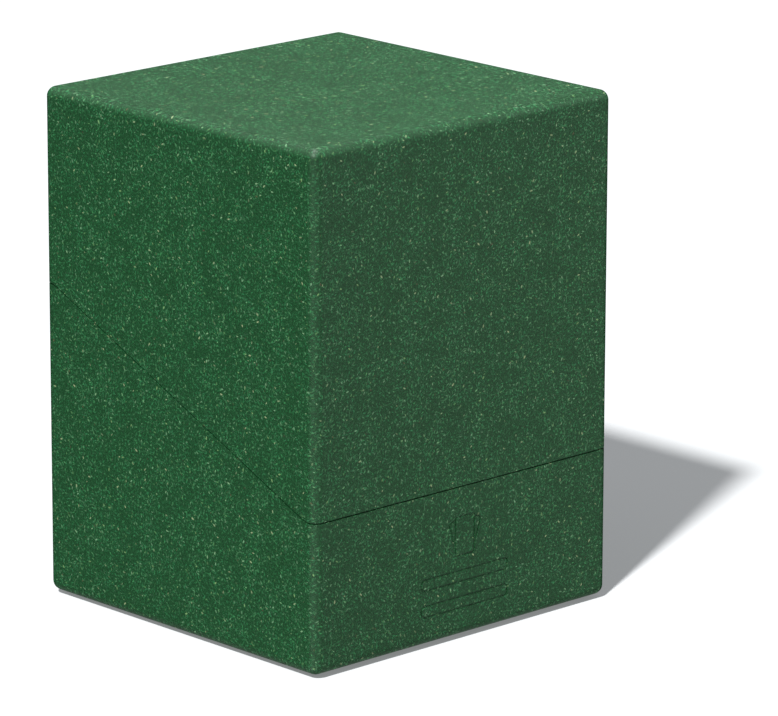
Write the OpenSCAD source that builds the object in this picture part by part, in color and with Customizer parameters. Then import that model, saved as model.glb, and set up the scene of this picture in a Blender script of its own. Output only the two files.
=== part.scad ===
// Two-piece card deck case: a tray with a low front and a high back, and a
// lid that lifts straight off. The tray's collar stands up inside the lid, so
// the outside faces run flush and only a fine seam shows, level across the
// front and back and sloping along both sides.
// Origin: centre of the underside. +X is right, -Y is the front, +Z is up.

/* [Case] */
// Width of the closed case, left to right
case_w = 77; // [72:0.5:120]
// Depth of the closed case, front to back
case_d = 76; // [50:0.5:120]
// Height of the closed case
case_h = 100; // [80:0.5:130]
// Radius of the outside edges and corners
edge_r = 2; // [0.5:0.1:2.4]
// Thickness of the side walls
wall_t = 2.6; // [2.1:0.1:4]
// Thickness of the tray's floor
floor_t = 2.5; // [1.5:0.1:5]
// Thickness of the lid's top
top_t = 2.5; // [1.5:0.1:5]
// Radius of the inside edges and corners of the card bay
bay_r = 1; // [0.4:0.1:2]

/* [Seam] */
// Height of the seam across the front
seam_front_z = 29.4; // [24:0.1:45]
// Height of the seam across the back
seam_back_z = 61.4; // [48:0.1:68]
// Length of the level stretch at each end of a side's seam
seam_level = 2.5; // [2:0.1:8]
// Radius of the bend between a level stretch and the slope
seam_bend_r = 4; // [1:0.5:6]
// Height of the fine shadow line along the seam
line_h = 0.3; // [0.1:0.05:0.5]
// Depth of the shadow line
line_depth = 0.4; // [0.2:0.05:0.8]

/* [Collar and rebate] */
// Thickness of the tray's collar
collar_t = 1.2; // [0.8:0.1:1.3]
// Height of the collar above the seam
collar_h = 8; // [4:0.5:14]
// Gap all round between the collar and the lid's rebate
collar_gap = 0.25; // [0.15:0.05:0.4]
// Gap between the collar's top and the lid's shoulder above it
shoulder_gap = 0.3; // [0.1:0.1:1]

/* [Holding beads] */
// Length of the bead across the front and the back of the collar
bead_l = 34; // [10:1:60]
// Radius of a bead's rounded section
bead_r = 0.6; // [0.4:0.05:0.8]
// Room left between a bead and the rebate's wall while the lid slides
bead_slip = 0.05; // [0.02:0.01:0.1]
// Room round a bead in the lid's groove when the case is closed
groove_gap = 0.15; // [0.1:0.05:0.3]

/* [Front mark] */
// Depth of the pressed-in lines
mark_depth = 0.15; // [0.1:0.05:0.5]
// Width of the pressed-in lines
mark_line = 0.4; // [0.3:0.05:0.8]
// Width of each card in the fanned-card emblem
emblem_w = 5.4; // [3:0.1:8]
// Height of each card in the emblem
emblem_h = 8; // [4:0.1:9]
// Radius of the emblem cards' corners
emblem_r = 0.8; // [0.5:0.1:1.2]
// Angle between one card of the fan and the next
emblem_fan = 18; // [10:1:25]
// Height of the fan's pivot above the foot of the middle card
emblem_pivot = 2; // [1:0.1:3]
// Width of the plain bars below the emblem
bar_w = 23; // [10:0.5:40]
// Height of each bar
bar_h = 2.6; // [1.5:0.1:3]
// Height of the clear space between the bars, and above them
bar_space = 2.6; // [1:0.1:3]

/* [Moulding marks] */
// Diameter of the shallow disc round the gate, on the underside
gate_d = 8; // [4:0.5:20]
// Depth of the gate disc
gate_depth = 0.4; // [0.2:0.1:1]
// Diameter of the trimmed gate stub in the middle of the disc
stub_d = 1.8; // [1:0.1:3]
// Height of the gate stub inside the disc
stub_h = 0.2; // [0.1:0.05:0.2]

/* [Hidden] */
$fn = 64;
// How far a cutting shape runs past what it cuts
cut = 1;
// Steps in each bend of the seam
bend_steps = 6;
// Inside of the case
bay_w = case_w - 2 * wall_t;
bay_d = case_d - 2 * wall_t;
bay_h = case_h - floor_t - top_t;
// Collar and rebate, as distances outside the bay
rebate_out = collar_t + collar_gap;
rebate_h = collar_h + shoulder_gap;
bead_out = collar_gap - bead_slip;
bead_axis = collar_t + bead_out - bead_r;
// Slope of the seam along the sides
slope_run = case_d - 2 * seam_level;
slope_angle = atan((seam_back_z - seam_front_z) / slope_run);
bend_tangent = seam_bend_r * tan(slope_angle / 2);
slope_y = case_d / 2 - seam_level;
// The mark is centred on the tray's front panel
mark_h = emblem_h + 2 * bar_h + 2 * bar_space;
mark_bottom = (seam_front_z - mark_h) / 2;

// Points of an arc in the plane of the sides, which run front to back and up
function arc_points(centre, radius, from, to) =
    [for (i = [0:bend_steps])
        let (a = from + (to - from) * i / bend_steps)
            centre + radius * [cos(a), sin(a)]];

// The seam seen from the side, front to back, raised by lift
function seam_points(lift) = concat(
    [[-case_d / 2 - cut, seam_front_z + lift]],
    arc_points([-slope_y - bend_tangent, seam_front_z + seam_bend_r + lift],
        seam_bend_r, -90, slope_angle - 90),
    arc_points([slope_y + bend_tangent, seam_back_z - seam_bend_r + lift],
        seam_bend_r, slope_angle + 90, 90),
    [[case_d / 2 + cut, seam_back_z + lift]]);

// A rectangle with round corners, centred
module rounded_rect(w, d, r) {
    square([w - 2 * r, d], center = true);
    square([w, d - 2 * r], center = true);
    for (x = [-1, 1], y = [-1, 1])
        translate([x * (w / 2 - r), y * (d / 2 - r)])
            circle(r);
}

// The outline of a rounded rectangle, drawn as a line inside its edge
module rounded_outline(w, d, r, line) {
    difference() {
        rounded_rect(w, d, r);
        rounded_rect(w - 2 * line, d - 2 * line, r - line);
    }
}

// A post with a half ball at each end, standing on z = 0
module round_post(h, r) {
    rotate_extrude() {
        intersection() {
            union() {
                translate([0, r])
                    square([r, h - 2 * r]);
                for (z = [r, h - r])
                    translate([0, z])
                        circle(r);
            }
            square([r, h]);
        }
    }
}

// A block with every edge and corner rounded, standing on z = 0
module rounded_block(w, d, h, r) {
    translate([0, 0, h / 2]) {
        rotate([90, 0, 90])
            linear_extrude(w - 2 * r, center = true)
                rounded_rect(d, h, r);
        rotate([90, 0, 0])
            linear_extrude(d - 2 * r, center = true)
                rounded_rect(w, h, r);
    }
    for (x = [-1, 1], y = [-1, 1])
        translate([x * (w / 2 - r), y * (d / 2 - r), 0])
            round_post(h, r);
}

// Everything under the seam, raised by lift
module under_seam(lift) {
    rotate([90, 0, 90])
        linear_extrude(case_w + 2 * cut, center = true)
            polygon(concat(
                [[case_d / 2 + cut, -cut], [-case_d / 2 - cut, -cut]],
                seam_points(lift)));
}

module case_block() {
    rounded_block(case_w, case_d, case_h, edge_r);
}

// The hollow that holds the cards, shared by both pieces
module card_bay() {
    translate([0, 0, floor_t])
        rounded_block(bay_w, bay_d, bay_h, bay_r);
}

// An upright block that stands out of the bay's sides all round
module bay_sleeve(out) {
    linear_extrude(case_h)
        rounded_rect(bay_w + 2 * out, bay_d + 2 * out, bay_r + out);
}

// The beads on the collar's front and back, or their grooves with room added
module beads(room) {
    for (side = [[-1, seam_front_z], [1, seam_back_z]])
        translate([0, side[0] * (bay_d / 2 + bead_axis), side[1] + collar_h / 2])
            rotate([0, 90, 0])
                cylinder(h = bead_l + 2 * room, r = bead_r + room, center = true);
}

// One card of the emblem, turned about the fan's pivot
module emblem_card(turn) {
    rotate(turn)
        translate([0, emblem_h / 2 - emblem_pivot])
            rounded_outline(emblem_w, emblem_h, emblem_r, mark_line);
}

// A fan of three cards, the outer two hidden behind the middle one
module emblem() {
    emblem_card(0);
    difference() {
        for (turn = [-emblem_fan, emblem_fan])
            emblem_card(turn);
        square([emblem_w - mark_line, 2 * emblem_h], center = true);
    }
}

// The emblem over two plain bars, drawn from the mark's foot upwards
module mark_lines() {
    translate([0, 2 * (bar_h + bar_space) + emblem_pivot])
        emblem();
    for (i = [0, 1])
        translate([0, bar_h / 2 + i * (bar_h + bar_space)])
            rounded_outline(bar_w, bar_h, bar_h / 2 - mark_line / 2, mark_line);
}

module front_mark() {
    translate([0, mark_depth - case_d / 2, mark_bottom])
        rotate([90, 0, 0])
            linear_extrude(mark_depth + cut)
                mark_lines();
}

// The disc round the gate, with the trimmed stub left in it
module gate_mark() {
    difference() {
        translate([0, 0, -cut])
            cylinder(h = gate_depth + cut, d = gate_d);
        translate([0, 0, gate_depth - stub_h])
            cylinder(h = stub_h + cut, d = stub_d);
    }
}

// The ring of space that shows as a fine line along the seam
module shadow_line() {
    difference() {
        under_seam(line_h);
        linear_extrude(case_h)
            rounded_rect(case_w - 2 * line_depth, case_d - 2 * line_depth,
                edge_r - line_depth);
    }
}

// Tray with its floor, low front, high back and collar
module base() {
    color("#2a5a38")
        difference() {
            union() {
                intersection() {
                    case_block();
                    under_seam(0);
                }
                intersection() {
                    translate([0, 0, floor_t])
                        bay_sleeve(collar_t);
                    under_seam(collar_h);
                }
                beads(0);
            }
            card_bay();
            front_mark();
            gate_mark();
        }
}

// Lift-off lid with a rebate that slips over the collar
module lid() {
    color("#2a5a38")
        difference() {
            case_block();
            under_seam(0);
            shadow_line();
            card_bay();
            intersection() {
                bay_sleeve(rebate_out);
                under_seam(rebate_h);
            }
            beads(groove_gap);
        }
}

base();
lid();
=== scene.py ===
import math

import bmesh
import bpy
from mathutils import Matrix, Vector


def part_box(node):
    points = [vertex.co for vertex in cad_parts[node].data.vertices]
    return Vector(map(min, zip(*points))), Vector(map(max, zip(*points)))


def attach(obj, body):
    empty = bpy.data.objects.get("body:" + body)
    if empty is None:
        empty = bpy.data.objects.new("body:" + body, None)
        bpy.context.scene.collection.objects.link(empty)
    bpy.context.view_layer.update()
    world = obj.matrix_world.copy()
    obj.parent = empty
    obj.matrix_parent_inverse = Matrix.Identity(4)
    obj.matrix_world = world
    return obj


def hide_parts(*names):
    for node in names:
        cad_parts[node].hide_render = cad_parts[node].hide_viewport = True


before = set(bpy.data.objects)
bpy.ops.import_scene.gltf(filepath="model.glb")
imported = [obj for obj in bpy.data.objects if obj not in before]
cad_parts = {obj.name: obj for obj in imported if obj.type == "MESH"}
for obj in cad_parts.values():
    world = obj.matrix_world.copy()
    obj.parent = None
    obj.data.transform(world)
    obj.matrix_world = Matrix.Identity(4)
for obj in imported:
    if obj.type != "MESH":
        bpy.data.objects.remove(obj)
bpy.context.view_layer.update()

# ---------------------------------------------------------------- sizes
# Every shape is modelled in millimetres and scaled to metres when its piece is made.
MM = 0.001


def in_mm(corner):
    return Vector(corner) / MM


base_low, base_high = (in_mm(corner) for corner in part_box("base"))
lid_low, lid_high = (in_mm(corner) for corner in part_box("lid"))

# The outline and heights that both pieces share
half_w = lid_high.x
half_d = lid_high.y
case_h = lid_high.z
edge_r = 2.0
wall_t = 2.6
floor_t = 2.5
top_t = 2.5
bay_r = 1.0

# The collar inside the seam, and the rebate that slips over it
collar_t = 1.2
collar_h = 8.0
collar_gap = 0.25
shoulder_gap = 0.3
rim_softness = 0.1

# The seam, level at both ends of a side and sloping between
seam_front = lid_low.z
seam_back = base_high.z - collar_h
seam_level = 2.5
seam_bend_r = 4.0
line_h = 0.3
line_depth = 0.4

# The holding beads and their grooves
bead_l = 34.0
bead_r = 0.6
bead_slip = 0.05
groove_gap = 0.15

# The pressed-in mark on the front
mark_depth = 0.15
mark_line = 0.4
emblem_w = 5.4
emblem_h = 8.0
emblem_r = 0.8
emblem_fan = math.radians(18)
emblem_pivot = 2.0
bar_w = 23.0
bar_h = 2.6
bar_space = 2.6

# The disc round the gate on the underside
gate_r = 4.0
gate_depth = 0.4
stub_r = 0.9
stub_h = 0.2

# How finely curves are cut
corner_steps = 10
inside_steps = 5
bend_steps = 6
round_steps = 48

# How shapes are joined, cut and shaded
weld = 0.0005  # points closer than this become one
past = 1.0  # how far a cutter runs past what it cuts
crease = math.radians(32)  # edges that turn more than this stay sharp

slope_y = half_d - seam_level
slope = math.atan2(seam_back - seam_front, 2 * slope_y)
bend_tangent = seam_bend_r * math.tan(slope / 2)


def seam_height(y):
    """Height of the seam at a place from front to back."""
    bend_run = bend_tangent * (1 + math.cos(slope))
    y = min(max(y, -half_d), half_d)
    front = y + slope_y + bend_tangent  # from where the front bend starts
    back = slope_y + bend_tangent - y  # from where the back bend ends
    if front <= 0:
        return seam_front
    if back <= 0:
        return seam_back
    if front < bend_run:
        return seam_front + seam_bend_r - math.sqrt(seam_bend_r**2 - front**2)
    if back < bend_run:
        return seam_back - seam_bend_r + math.sqrt(seam_bend_r**2 - back**2)
    return seam_front + (y + slope_y) * math.tan(slope)


def along_seam(rise):
    """A ring's height, following the seam from a fixed distance above it."""
    return lambda y: seam_height(y) + rise


def level(height):
    """A ring's height, the same all round."""
    return lambda y: height


# ---------------------------------------------------------------- making meshes
def case_outline(mesh):
    """The case's outline as a flat sheet, cut across where the seam bends. Returns its edge ring."""
    home = mesh.verts.layers.float_vector.new("home")
    sheet = bmesh.ops.create_grid(mesh, x_segments=1, y_segments=1, size=1)
    bmesh.ops.scale(mesh, vec=(half_w, half_d, 1), verts=sheet["verts"])
    bmesh.ops.bevel(mesh, geom=sheet["verts"], offset=edge_r, segments=corner_steps,
                    affect="VERTICES", profile=0.5, material=-1)
    bend_run = bend_tangent * (1 + math.cos(slope))
    for side in (-1, 1):
        for step in range(bend_steps + 1):
            y = side * (slope_y + bend_tangent - bend_run * step / bend_steps)
            bmesh.ops.bisect_plane(mesh, geom=mesh.verts[:] + mesh.edges[:] + mesh.faces[:],
                                   plane_co=(0, y, 0), plane_no=(0, 1, 0))
    for vert in mesh.verts:
        vert[home] = vert.co
    return [edge for edge in mesh.edges if edge.is_boundary]


def place(mesh, verts, inset, radius, height):
    """Moves a ring in from the case's outline, to its own corner radius and height."""
    home = mesh.verts.layers.float_vector["home"]
    core = Vector((half_w - edge_r, half_d - edge_r))
    new_core = Vector((half_w - inset - radius, half_d - inset - radius))
    for vert in verts:
        flat = vert[home].xy
        centre = Vector((min(max(flat.x, -core.x), core.x), min(max(flat.y, -core.y), core.y)))
        out = (flat - centre) * radius / edge_r
        x = centre.x * new_core.x / core.x + out.x
        y = centre.y * new_core.y / core.y + out.y
        vert.co = (x, y, height(y))


def grow(mesh, ring, inset, radius, height):
    """Extends the wall from a ring of edges to a new ring, and returns the new one."""
    made = bmesh.ops.extrude_edge_only(mesh, edges=ring)["geom"]
    verts = {item for item in made if isinstance(item, bmesh.types.BMVert)}
    place(mesh, verts, inset, radius, height)
    return [edge for edge in {e for v in verts for e in v.link_edges} if set(edge.verts) <= verts]


def round_over(mesh, ring, inset, radius, steps, end, side):
    """Rounds a wall over on to a flat at the height end. side is 1 where the wall rises to it."""
    for step in range(1, steps + 1):
        turn = math.radians(90 * step / steps)
        ring = grow(mesh, ring, inset + radius * (1 - math.cos(turn)), radius * math.cos(turn),
                    level(end - side * radius * (1 - math.sin(turn))))
    return ring


def soften(mesh, rings):
    """Takes the sharpness off the edges of the rings."""
    bmesh.ops.bevel(mesh, geom=[edge for ring in rings for edge in ring], offset=rim_softness,
                    segments=2, affect="EDGES", profile=0.5, material=-1)


def close_shell(mesh, sheet):
    """Removes the flat sheet that the shell grew from and closes what is open."""
    bmesh.ops.delete(mesh, geom=sheet, context="FACES")
    bmesh.ops.remove_doubles(mesh, verts=mesh.verts, dist=weld)
    bmesh.ops.holes_fill(mesh, edges=[edge for edge in mesh.edges if edge.is_boundary], sides=0)
    bmesh.ops.recalc_face_normals(mesh, faces=mesh.faces)


def make_piece(name, mesh):
    """Turns a closed mesh in millimetres into an object in metres."""
    bmesh.ops.scale(mesh, vec=(MM, MM, MM), verts=mesh.verts)
    data = bpy.data.meshes.new(name)
    mesh.to_mesh(data)
    mesh.free()
    piece = bpy.data.objects.new(name, data)
    bpy.context.scene.collection.objects.link(piece)
    return piece


def bake_modifiers(piece):
    """Makes a piece's modifiers part of its mesh."""
    graph = bpy.context.evaluated_depsgraph_get()
    data = bpy.data.meshes.new_from_object(piece.evaluated_get(graph))
    piece.modifiers.clear()
    piece.data = data


def combine(piece, tool, operation):
    """Cuts a tool out of a piece or joins it on, and removes the tool."""
    change = piece.modifiers.new("combine", "BOOLEAN")
    change.operation = operation
    change.solver = "EXACT"
    change.object = tool
    bake_modifiers(piece)
    bpy.data.objects.remove(tool)


def smooth_shade(piece):
    """Smooth roundings beside truly flat faces."""
    piece.data.shade_smooth()
    piece.data.set_sharp_from_angle(angle=crease)
    weigh = piece.modifiers.new("flat faces stay flat", "WEIGHTED_NORMAL")
    weigh.keep_sharp = True
    weigh.mode = "FACE_AREA"
    bake_modifiers(piece)


# ---------------------------------------------------------------- small shapes
def bar(radius, length, place_at):
    """A round bar lying from left to right."""
    mesh = bmesh.new()
    bmesh.ops.create_cone(mesh, cap_ends=True, segments=round_steps, radius1=radius,
                          radius2=radius, depth=length)
    bmesh.ops.rotate(mesh, matrix=Matrix.Rotation(math.pi / 2, 3, "Y"), verts=mesh.verts)
    bmesh.ops.translate(mesh, vec=place_at, verts=mesh.verts)
    return make_piece("bar", mesh)


def beads(room):
    """The beads on the collar's front and back, or the tools for their grooves."""
    out = collar_gap - bead_slip
    axis_y = half_d - wall_t + collar_t + out - bead_r
    return [bar(bead_r + room, bead_l + 2 * room, (0, side * axis_y, seam + collar_h / 2))
            for side, seam in ((-1, seam_front), (1, seam_back))]


def outline_tool(w, h, radius, turn=0, keep=0):
    """A tool that presses the outline of a rounded card into the front. The card is turned about
    its pivot. Where keep is -1 or 1, only what shows on that side of the middle card is kept."""
    mesh = bmesh.new()
    sheet = bmesh.ops.create_grid(mesh, x_segments=1, y_segments=1, size=0.5)
    bmesh.ops.scale(mesh, vec=(w, h, 1), verts=sheet["verts"])
    bmesh.ops.bevel(mesh, geom=sheet["verts"], offset=radius, segments=corner_steps,
                    affect="VERTICES", profile=0.5, material=-1)
    middle = mesh.faces[:]
    bmesh.ops.inset_region(mesh, faces=middle, thickness=mark_line, use_boundary=True,
                           use_even_offset=True)
    bmesh.ops.delete(mesh, geom=middle, context="FACES")
    if keep:
        bmesh.ops.translate(mesh, vec=(0, h / 2 - emblem_pivot, 0), verts=mesh.verts)
        bmesh.ops.rotate(mesh, matrix=Matrix.Rotation(turn, 3, "Z"), verts=mesh.verts)
        bmesh.ops.translate(mesh, vec=(0, emblem_pivot - h / 2, 0), verts=mesh.verts)
        bmesh.ops.bisect_plane(mesh, geom=mesh.verts[:] + mesh.edges[:] + mesh.faces[:],
                               plane_co=(keep * (emblem_w - mark_line) / 2, 0, 0),
                               plane_no=(keep, 0, 0), clear_inner=True)
    walls = bmesh.ops.extrude_face_region(mesh, geom=mesh.faces[:])["geom"]
    bmesh.ops.translate(mesh, vec=(0, 0, mark_depth + past),
                        verts=[item for item in walls if isinstance(item, bmesh.types.BMVert)])
    bmesh.ops.recalc_face_normals(mesh, faces=mesh.faces)
    return mesh


def front_mark():
    """The tools for a fan of three plain cards over two plain bars, centred on the tray's front."""
    mark_h = emblem_h + 2 * bar_h + 2 * bar_space
    foot = (seam_front - mark_h) / 2
    shapes = [(outline_tool(emblem_w, emblem_h, emblem_r), mark_h - emblem_h / 2)]
    shapes += [(outline_tool(emblem_w, emblem_h, emblem_r, -side * emblem_fan, side),
                mark_h - emblem_h / 2) for side in (-1, 1)]
    shapes += [(outline_tool(bar_w, bar_h, (bar_h - mark_line) / 2),
                bar_h / 2 + row * (bar_h + bar_space)) for row in (0, 1)]
    tools = []
    for mesh, middle in shapes:
        bmesh.ops.rotate(mesh, matrix=Matrix.Rotation(math.pi / 2, 3, "X"), verts=mesh.verts)
        bmesh.ops.translate(mesh, vec=(0, mark_depth - half_d, foot + middle), verts=mesh.verts)
        tools.append(make_piece("mark", mesh))
    return tools


def upright_disc(radius, low, high):
    """A short round tool standing in the middle of the underside."""
    mesh = bmesh.new()
    bmesh.ops.create_cone(mesh, cap_ends=True, segments=round_steps, radius1=radius,
                          radius2=radius, depth=high - low,
                          matrix=Matrix.Translation((0, 0, (low + high) / 2)))
    return make_piece("disc", mesh)


def gate_disc():
    """The tool for the shallow disc round the gate, with the trimmed stub left standing."""
    disc = upright_disc(gate_r, -past, gate_depth)
    combine(disc, upright_disc(stub_r, gate_depth - stub_h, gate_depth + past), "DIFFERENCE")
    return disc


# ---------------------------------------------------------------- the two mouldings
def make_base():
    """Tray: floor, walls cut along the seam, and the collar that stands up inside it."""
    mesh = bmesh.new()
    seam_ring = case_outline(mesh)
    sheet = mesh.faces[:]
    place(mesh, mesh.verts, 0, edge_r, along_seam(0))
    # outside, from the seam down and under
    down = grow(mesh, seam_ring, 0, edge_r, level(edge_r))
    round_over(mesh, down, 0, edge_r, corner_steps, 0, -1)
    # shoulder, collar and bay, from the seam inwards
    collar_in = wall_t - collar_t
    shoulder = grow(mesh, seam_ring, collar_in, bay_r + collar_t, along_seam(0))
    collar_out = grow(mesh, shoulder, collar_in, bay_r + collar_t, along_seam(collar_h))
    collar_top = grow(mesh, collar_out, wall_t, bay_r, along_seam(collar_h))
    bay = grow(mesh, collar_top, wall_t, bay_r, level(floor_t + bay_r))
    round_over(mesh, bay, wall_t, bay_r, inside_steps, floor_t, -1)
    soften(mesh, [seam_ring, collar_out, collar_top])
    close_shell(mesh, sheet)
    piece = make_piece("tray", mesh)
    for tool in beads(0):
        combine(piece, tool, "UNION")
    for tool in front_mark() + [gate_disc()]:
        combine(piece, tool, "DIFFERENCE")
    return piece


def make_lid():
    """Lid: the tall cap, with the shadow line and the rebate inside its rim."""
    mesh = bmesh.new()
    rim = case_outline(mesh)
    sheet = mesh.faces[:]
    place(mesh, mesh.verts, 0, edge_r, along_seam(line_h))
    # outside, from the rim up and over
    up = grow(mesh, rim, 0, edge_r, level(case_h - edge_r))
    round_over(mesh, up, 0, edge_r, corner_steps, case_h, 1)
    # shadow line, rim, rebate and hollow, from the outside inwards
    rebate_in = wall_t - collar_t - collar_gap
    rebate_r = bay_r + collar_t + collar_gap
    line_in = grow(mesh, rim, line_depth, edge_r - line_depth, along_seam(line_h))
    line_low = grow(mesh, line_in, line_depth, edge_r - line_depth, along_seam(0))
    rebate_low = grow(mesh, line_low, rebate_in, rebate_r, along_seam(0))
    rebate_top = grow(mesh, rebate_low, rebate_in, rebate_r, along_seam(collar_h + shoulder_gap))
    shoulder = grow(mesh, rebate_top, wall_t, bay_r, along_seam(collar_h + shoulder_gap))
    hollow = grow(mesh, shoulder, wall_t, bay_r, level(case_h - top_t - bay_r))
    round_over(mesh, hollow, wall_t, bay_r, inside_steps, case_h - top_t, 1)
    soften(mesh, [rim, rebate_low])
    close_shell(mesh, sheet)
    piece = make_piece("cap", mesh)
    for tool in beads(groove_gap):
        combine(piece, tool, "DIFFERENCE")
    return piece


# ---------------------------------------------------------------- materials
# The plastic's patterns, as sizes in millimetres
flow_size = 5.88  # over which fibres gather and thin out
pigment_size = 0.3846  # over which the pigment is unevenly mixed
spark_size = 0.303  # a pit of the spark-eroded grain, drawn coarser than its real 0.1 so that it shows
skin_relief = 0.01  # height of that grain
top_density = 0.7  # how closely fibres lie in the top and the floors, against the walls

# One fibre of a layer, as shares of the layer's length and width
smallest = 0.6
size_spread = 0.8  # the largest is this much more than the smallest
edge_in = 0.6  # where its soft edge starts
edge_out = 1.2  # where its soft edge ends
fade = 0.4  # how slowly fibres come into view as they crowd
reshuffle = 37.0  # makes a second chance draw out of a first one

# Fibres from the deepest, dimmest ones to those that lie bare on the skin, in millimetres. They
# are drawn about twice as wide as the real 0.1, so that they show.
FIBRES = (
    dict(spacing=0.5, length=0.42, width=0.22, share=0.9, cover=0.75,
         colours=("#144828", "#184e29", "#205430", "#14522c", "#264a31")),
    dict(spacing=0.8, length=0.6, width=0.24, share=0.8, cover=0.8,
         colours=("#1e5c34", "#2a603a", "#20623a", "#32603c", "#225c38")),
    dict(spacing=3.2, length=2.4, width=0.2, share=0.6, cover=0.5, bend=0.45,
         colours=("#2e663c", "#28663a", "#3e6a46")),
    dict(spacing=1.1, length=0.52, width=0.23, share=0.7, cover=0.74,
         colours=("#3c7046", "#4a7450", "#2e7240", "#527656", "#467042")),
    dict(spacing=2.0, length=0.54, width=0.25, share=0.5, cover=0.7,
         colours=("#70946c", "#7e906a", "#5f8e60", "#68926c", "#6e905a", "#8a966e")),
    dict(spacing=3.6, length=0.44, width=0.24, share=0.45, cover=0.65,
         colours=("#3c2c20", "#483626", "#2a241c", "#50482e")),
)


def linear(hex_code):
    """An sRGB hex value as linear colour."""
    parts = [int(hex_code[i:i + 2], 16) / 255 for i in (1, 3, 5)]
    return [p / 12.92 if p <= 0.04045 else ((p + 0.055) / 1.055) ** 2.4 for p in parts] + [1.0]


def add(tree, kind, settings=None, **links):
    """Adds a node with its settings, and its inputs as values or links. An input is named as in
    the editor, with _ for a space, or i0, i1 and so on for its place."""
    node = tree.nodes.new(kind)
    for name, value in (settings or {}).items():
        setattr(node, name, value)
    for name, value in links.items():
        socket = node.inputs[int(name[1:]) if name[1:].isdigit() else name.replace("_", " ")]
        if isinstance(value, bpy.types.NodeSocket):
            tree.links.new(value, socket)
        else:
            socket.default_value = value
    return node


def face_place(tree):
    """Places on the surface in millimetres, each point seen square on to the face that it lies in."""
    spot = add(tree, "ShaderNodeTexCoord")
    along = add(tree, "ShaderNodeSeparateXYZ", i0=spot.outputs["Object"])
    facing = add(tree, "ShaderNodeVectorMath", {"operation": "ABSOLUTE"}, i0=spot.outputs["Normal"])
    out = add(tree, "ShaderNodeSeparateXYZ", i0=facing.outputs[0])
    side_or_top = add(tree, "ShaderNodeMath", {"operation": "MAXIMUM"}, i0=out.outputs["X"],
                      i1=out.outputs["Z"])
    on_front = add(tree, "ShaderNodeMath", {"operation": "LESS_THAN"}, i0=side_or_top.outputs[0],
                   i1=out.outputs["Y"])
    side_first = add(tree, "ShaderNodeMath", {"operation": "GREATER_THAN"}, i0=out.outputs["X"],
                     i1=out.outputs["Z"])
    across = add(tree, "ShaderNodeMix", {"data_type": "FLOAT"}, i0=side_first.outputs[0],
                 i2=along.outputs["X"], i3=along.outputs["Z"])
    up = add(tree, "ShaderNodeMix", {"data_type": "FLOAT"}, i0=on_front.outputs[0],
             i2=along.outputs["Y"], i3=along.outputs["Z"])
    flat = add(tree, "ShaderNodeMix", {"data_type": "FLOAT"}, i0=on_front.outputs[0],
               i2=across.outputs[0], i3=along.outputs["X"])
    place_at = add(tree, "ShaderNodeCombineXYZ", i0=flat.outputs[0], i1=up.outputs[0])
    side_or_front = add(tree, "ShaderNodeMath", {"operation": "MAXIMUM"}, i0=out.outputs["X"],
                        i1=out.outputs["Y"])
    on_top = add(tree, "ShaderNodeMath", {"operation": "LESS_THAN"}, i0=side_or_front.outputs[0],
                 i1=out.outputs["Z"])
    # fibres lie flatter in the top and the floor than in the walls, and show longer there
    density = add(tree, "ShaderNodeMapRange", i0=on_top.outputs[0], i3=1 / MM, i4=top_density / MM)
    scaled = add(tree, "ShaderNodeVectorMath", {"operation": "SCALE"}, i0=place_at.outputs[0])
    tree.links.new(density.outputs[0], scaled.inputs["Scale"])
    return scaled.outputs[0]


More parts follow.
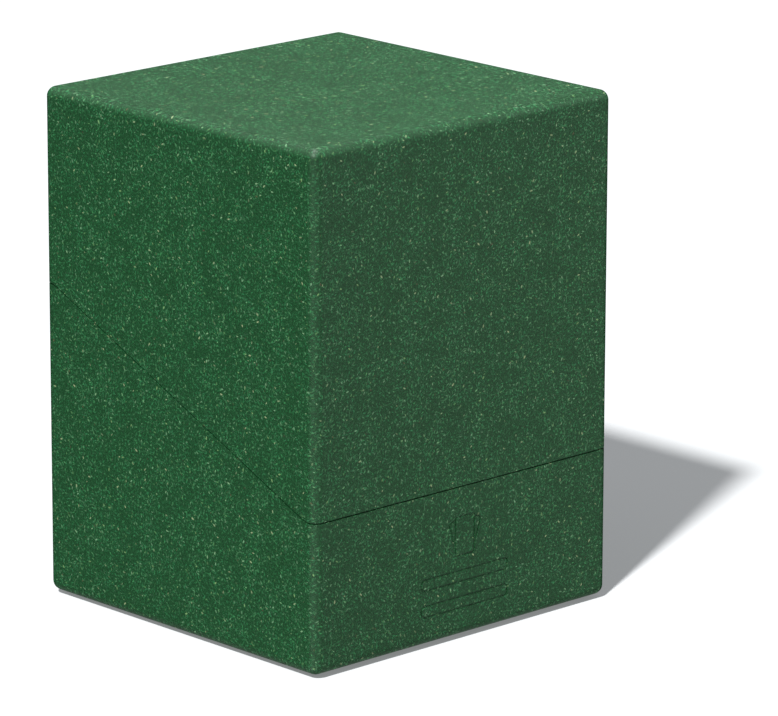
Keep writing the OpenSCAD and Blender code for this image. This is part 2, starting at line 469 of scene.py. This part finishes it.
def fibre_layer(tree, place_at, crowding, under, spacing, length, width, share, colours, cover,
                bend=0.0):
    """Fibres in millimetres strewn over a colour: one in some of the cells, each turned its own way."""
    cell = add(tree, "ShaderNodeTexVoronoi", {"voronoi_dimensions": "2D"}, Vector=place_at,
               Scale=1 / spacing, Randomness=0.9)
    draw = add(tree, "ShaderNodeSeparateColor", i0=cell.outputs["Color"])
    offset = add(tree, "ShaderNodeVectorMath", {"operation": "SUBTRACT"}, i0=place_at,
                 i1=cell.outputs["Position"])
    turn = add(tree, "ShaderNodeMath", {"operation": "MULTIPLY"}, i0=draw.outputs[0], i1=math.tau)
    turned = add(tree, "ShaderNodeVectorRotate", {"rotation_type": "Z_AXIS"},
                 Vector=offset.outputs[0], Angle=turn.outputs[0])
    along = add(tree, "ShaderNodeSeparateXYZ", i0=turned.outputs[0])
    arch = add(tree, "ShaderNodeMath", {"operation": "MULTIPLY"}, i0=along.outputs["X"],
               i1=along.outputs["X"])
    bent = add(tree, "ShaderNodeMath", {"operation": "MULTIPLY_ADD"}, i0=arch.outputs[0], i1=bend,
               i2=along.outputs["Y"])
    laid = add(tree, "ShaderNodeCombineXYZ", i0=along.outputs["X"], i1=bent.outputs[0])
    size = add(tree, "ShaderNodeMath", {"operation": "MULTIPLY_ADD"}, i0=draw.outputs[1],
               i1=size_spread, i2=smallest)
    sized = add(tree, "ShaderNodeVectorMath", {"operation": "DIVIDE"}, i0=laid.outputs[0],
                i1=(length / 2, width / 2, 1))
    reach = add(tree, "ShaderNodeVectorMath", {"operation": "LENGTH"}, i0=sized.outputs[0])
    inside = add(tree, "ShaderNodeMath", {"operation": "DIVIDE"}, i0=reach.outputs["Value"],
                 i1=size.outputs[0])
    body = add(tree, "ShaderNodeMapRange", {"interpolation_type": "SMOOTHSTEP"},
               i0=inside.outputs[0], i1=edge_out, i2=edge_in, i3=0, i4=1)
    wanted = add(tree, "ShaderNodeMath", {"operation": "MULTIPLY"}, i0=crowding, i1=share)
    there = add(tree, "ShaderNodeMath", {"operation": "SUBTRACT"}, i0=wanted.outputs[0],
                i1=draw.outputs[2])
    seen = add(tree, "ShaderNodeMapRange", i0=there.outputs[0], i1=0, i2=fade, i3=0, i4=cover)
    shade = add(tree, "ShaderNodeMath", {"operation": "MULTIPLY"}, i0=body.outputs[0],
                i1=seen.outputs[0])
    spread = add(tree, "ShaderNodeMath", {"operation": "MULTIPLY"}, i0=draw.outputs[1],
                 i1=reshuffle)
    pick = add(tree, "ShaderNodeMath", {"operation": "FRACT"}, i0=spread.outputs[0])
    ramp = add(tree, "ShaderNodeValToRGB", i0=pick.outputs[0])
    ramp.color_ramp.interpolation = "CONSTANT"
    while len(ramp.color_ramp.elements) < len(colours):
        ramp.color_ramp.elements.new(1.0)
    for step, hex_code in enumerate(colours):
        ramp.color_ramp.elements[step].position = step / len(colours)
        ramp.color_ramp.elements[step].color = linear(hex_code)
    laid_on = add(tree, "ShaderNodeMix", {"data_type": "RGBA"}, i0=shade.outputs[0], i6=under,
                  i7=ramp.outputs["Color"])
    return laid_on.outputs[2], shade.outputs[0]


def fibre_plastic():
    """Moulded polypropylene filled with chopped plant fibre: a dark green satin skin with short
    pale, yellow and brown fibres just under it, lying every way."""
    material = bpy.data.materials.new("fibre_filled_polypropylene")
    material.use_nodes = True
    tree = material.node_tree
    shader = tree.nodes["Principled BSDF"]
    place_at = face_place(tree)
    # fibres gather and thin out, as the melt carried them
    flow = add(tree, "ShaderNodeTexNoise", {"noise_dimensions": "2D"}, Vector=place_at,
               Scale=1 / flow_size, Detail=1.0)
    crowding = add(tree, "ShaderNodeMapRange", i0=flow.outputs["Fac"], i1=0.3, i2=0.7, i3=0.7, i4=1.3)
    # pigment, unevenly mixed
    grain = add(tree, "ShaderNodeTexNoise", {"noise_dimensions": "2D"}, Vector=place_at,
                Scale=1 / pigment_size, Detail=2.0, Roughness=0.6)
    pigment = add(tree, "ShaderNodeValToRGB", i0=grain.outputs["Fac"])
    pigment.color_ramp.elements[0].position = 0.34
    pigment.color_ramp.elements[0].color = linear("#0a3016")
    pigment.color_ramp.elements[1].position = 0.72
    pigment.color_ramp.elements[1].color = linear("#104220")
    colour = pigment.outputs["Color"]
    shades = []
    for layer in FIBRES:
        colour, shade = fibre_layer(tree, place_at, crowding.outputs[0], colour, **layer)
        shades.append(shade)
    # the last two kinds lie bare on the skin, a little proud of it and duller
    bare = add(tree, "ShaderNodeMath", {"operation": "MAXIMUM"}, i0=shades[-2], i1=shades[-1])
    # the fine even grain that a spark-eroded mould leaves
    spot = add(tree, "ShaderNodeTexCoord")
    spark = add(tree, "ShaderNodeTexNoise", Vector=spot.outputs["Object"],
                Scale=1 / (spark_size * MM), Detail=1.0)
    relief = add(tree, "ShaderNodeMath", {"operation": "ADD"}, i0=spark.outputs["Fac"],
                 i1=bare.outputs[0])
    skin = add(tree, "ShaderNodeBump", Strength=1.0, Distance=skin_relief * MM,
               Height=relief.outputs[0])
    dullness = add(tree, "ShaderNodeMapRange", i0=relief.outputs[0], i1=0.2, i2=1.4, i3=0.45, i4=0.6)
    tree.links.new(colour, shader.inputs["Base Color"])
    tree.links.new(skin.outputs["Normal"], shader.inputs["Normal"])
    tree.links.new(dullness.outputs[0], shader.inputs["Roughness"])
    shader.inputs["Specular IOR Level"].default_value = 0.35
    return material


# ---------------------------------------------------------------- studio
board_reach = 4000  # from the middle of the board to its sides
floor_drop = 0.75  # the case stands this far clear of the board
key_from = (-0.626, -0.295, 0.722)
key_softness = math.radians(4)
case_key = 3.35
board_key = 11.0

# The soft lamps round the case: place, width and height in millimetres, then power in watts
SOFTBOXES = {
    # even light from all over the ceiling
    "ceiling": ((-250, 50, 1050), 3000, 3000, 27.5),
    # straight down on the lid's top
    "overhead": ((0, 0, 420), 200, 200, 1.2),
    # up on to the left side
    "bounce": ((-520, -60, -480), 400, 400, 1.55),
    # sheen on the front
    "fill": ((430, -452, 50), 300, 600, 0.49),
    # sheen on the near upright edge
    "near": ((-380, -440, -105), 1400, 300, 1.3),
    # sheen on the top's front edge
    "side": ((285, -185, 270), 200, 200, 0.23),
    # low sheen right across the top
    "rim": ((465, 490, 230), 300, 300, 0.065),
    # up under the lower edges
    "below": ((0, 0, -550), 1500, 1500, 2.3),
}


def make_floor(board_set):
    """A pale board that glows a little, like a lit-through shooting table, so that the shadow on
    it keeps one even tone right up to the case. It doesn't show in the case's sheen."""
    mesh = bmesh.new()
    bmesh.ops.create_grid(mesh, x_segments=1, y_segments=1, size=board_reach)
    bmesh.ops.translate(mesh, vec=(0, 0, -floor_drop), verts=mesh.verts)
    floor = make_piece("floor", mesh)
    board = bpy.data.materials.new("shooting_table_acrylic")
    board.use_nodes = True
    shader = board.node_tree.nodes["Principled BSDF"]
    shader.inputs["Base Color"].default_value = linear("#959697")
    shader.inputs["Roughness"].default_value = 0.9
    shader.inputs["Specular IOR Level"].default_value = 0.0
    shader.inputs["Emission Color"].default_value = linear("#fbfdff")
    shader.inputs["Emission Strength"].default_value = 0.22
    floor.data.materials.append(board)
    floor.visible_glossy = False
    board_set.objects.link(floor)


def lamp(name, kind, towards, energy, lit):
    """A lamp that shines from a direction and lights only what is in a collection."""
    light = bpy.data.lights.new(name, kind)
    light.energy = energy
    holder = bpy.data.objects.new(name, light)
    holder.rotation_euler = Vector(towards).to_track_quat("Z", "Y").to_euler()
    holder.light_linking.receiver_collection = lit
    bpy.context.scene.collection.objects.link(holder)
    return holder


def softbox(name, place_at, width, height, energy, lit):
    """A soft lamp, placed and sized in millimetres, that faces the case. Only the case stands in its
    way, so it may be lower than the board."""
    towards = Vector(place_at) - Vector((0, 0, case_h / 2))
    holder = lamp(name, "AREA", towards, energy, lit)
    holder.location = Vector(place_at) * MM
    holder.data.shape = "RECTANGLE"
    holder.data.size = width * MM
    holder.data.size_y = height * MM
    holder.light_linking.blocker_collection = lit


def make_lights(case_set, board_set):
    """A pale room, a key light each for the case and the board, and the soft lamps. The room and
    the board stay out of the case's sheen, which comes from the lamps alone."""
    world = bpy.data.worlds.new("studio")
    bpy.context.scene.world = world
    world.use_nodes = True
    world.cycles_visibility.glossy = False
    sky = world.node_tree.nodes["Background"]
    sky.inputs["Color"].default_value = linear("#f4faff")
    sky.inputs["Strength"].default_value = 0.42
    for name, energy, lit in (("key", case_key, case_set), ("board key", board_key, board_set)):
        sun = lamp(name, "SUN", key_from, energy, lit)
        sun.data.angle = key_softness
    for name, (place_at, width, height, energy) in SOFTBOXES.items():
        softbox(name, place_at, width, height, energy, case_set)


def make_camera():
    """A long lens, so the case's edges stay almost parallel."""
    azimuth = math.radians(-43.53)
    elevation = math.radians(15.03)
    roll = math.radians(0.15)
    distance = 1092.6
    aim_right = 11.8
    aim_up = -3.0
    data = bpy.data.cameras.new("camera")
    data.sensor_fit = "HORIZONTAL"
    data.sensor_width = 36
    data.lens = 263.6
    back = Vector((math.sin(azimuth) * math.cos(elevation), -math.cos(azimuth) * math.cos(elevation),
                   math.sin(elevation)))
    right = (-back).cross(Vector((0, 0, 1))).normalized()
    up = right.cross(-back)
    side = math.cos(roll) * right + math.sin(roll) * up
    top = -math.sin(roll) * right + math.cos(roll) * up
    centre = Vector((0, 0, case_h / 2))
    place_at = centre + back * distance + side * aim_right + top * aim_up
    camera = bpy.data.objects.new("camera", data)
    turn = Matrix((side, top, back)).transposed().to_4x4()
    camera.matrix_world = Matrix.Translation(place_at * MM) @ turn
    bpy.context.scene.collection.objects.link(camera)
    bpy.context.scene.camera = camera


# ---------------------------------------------------------------- the scene
bpy.context.scene.view_settings.view_transform = "Standard"
mouldings = bpy.data.collections.new("mouldings")
boards = bpy.data.collections.new("boards")
make_camera()
make_floor(boards)
make_lights(mouldings, boards)

plastic = fibre_plastic()
for make, body in ((make_base, "base"), (make_lid, "lid")):
    piece = make()
    smooth_shade(piece)
    piece.data.materials.clear()
    piece.data.materials.append(plastic)
    mouldings.objects.link(piece)
    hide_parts(body)
    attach(piece, body)
